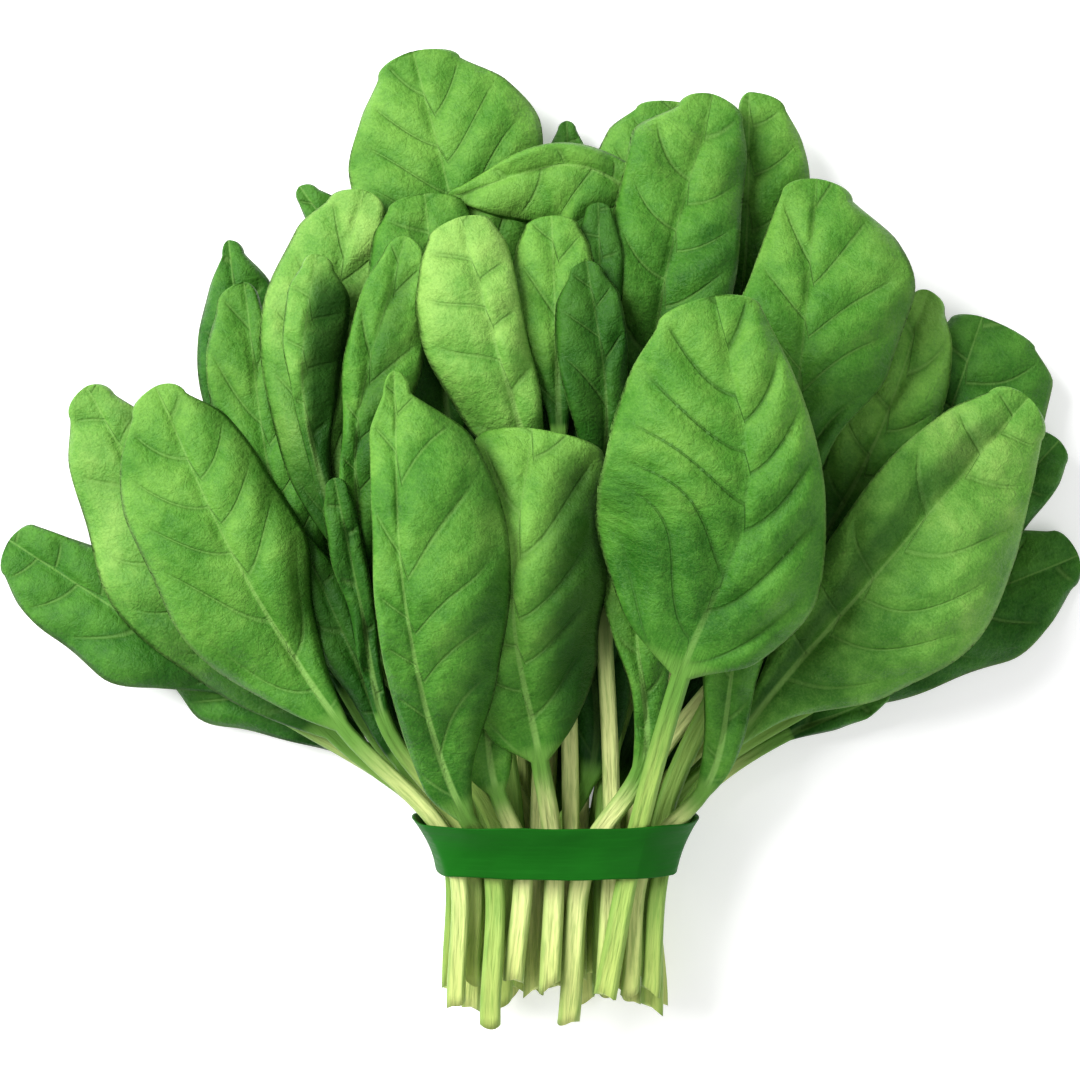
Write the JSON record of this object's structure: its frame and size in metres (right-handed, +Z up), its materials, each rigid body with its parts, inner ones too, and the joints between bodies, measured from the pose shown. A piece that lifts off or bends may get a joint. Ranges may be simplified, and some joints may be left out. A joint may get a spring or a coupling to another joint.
{
  "type": "spinach bunch",
  "caption": "Bunch of fresh smooth-leaf spinach lying on its back, the leaves fanned out and the stalks held together by one flat green band.",
  "frame": {"origin": "middle of the band's flat underside, on the surface that the bunch lies on", "axes": "+Z up from that surface, +Y along the stalks towards the leaf tips, +X to the right in the picture"},
  "size_m": [0.2894, 0.258, 0.0715],
  "materials": {
    "leaf_dark": "satin",
    "leaf_mid": "satin",
    "leaf_light": "satin",
    "band": "matt"
  },
  "bodies": {
    "root": {"band": "band", "leaf_back_left_tip": "leaf_dark", "leaf_back_right_tall": "leaf_mid", "leaf_back_top_left": "leaf_mid", "leaf_back_top_right": "leaf_mid", "leaf_back_top_tip": "leaf_dark", "leaf_centre": "leaf_mid", "leaf_front_left": "leaf_mid", "leaf_front_right": "leaf_mid", "leaf_front_right_long": "leaf_light", "leaf_inner_dark": "leaf_dark", "leaf_inner_folded": "leaf_dark", "leaf_left_big": "leaf_mid", "leaf_left_broad": "leaf_light", "leaf_left_centre_long": "leaf_mid", "leaf_left_far_low": "leaf_dark", "leaf_left_folded": "leaf_light", "leaf_left_inner_dark": "leaf_dark", "leaf_left_inner_low": "leaf_dark", "leaf_left_low": "leaf_dark", "leaf_left_mid": "leaf_mid", "leaf_left_pale": "leaf_light", "leaf_left_point_back": "leaf_dark", "leaf_low_centre": "leaf_mid", "leaf_right_base_small": "leaf_mid", "leaf_right_base_wide": "leaf_mid", "leaf_right_far": "leaf_dark", "leaf_right_far_low": "leaf_dark", "leaf_right_low_back": "leaf_dark", "leaf_right_mid": "leaf_mid", "leaf_right_small_low": "leaf_dark", "leaf_right_upper": "leaf_mid", "leaf_round_small": "leaf_mid", "leaf_round_tiny": "leaf_dark", "leaf_under_left": "leaf_dark", "leaf_under_left_up": "leaf_dark", "leaf_under_right": "leaf_dark", "leaf_under_top": "leaf_dark", "leaf_under_top_left": "leaf_dark", "leaf_under_top_right": "leaf_dark", "leaf_upper_centre": "leaf_light", "leaf_upper_cross": "leaf_mid", "leaf_upper_left_back": "leaf_mid", "leaf_upper_right_tall": "leaf_mid"}
  },
  "joints": []
}
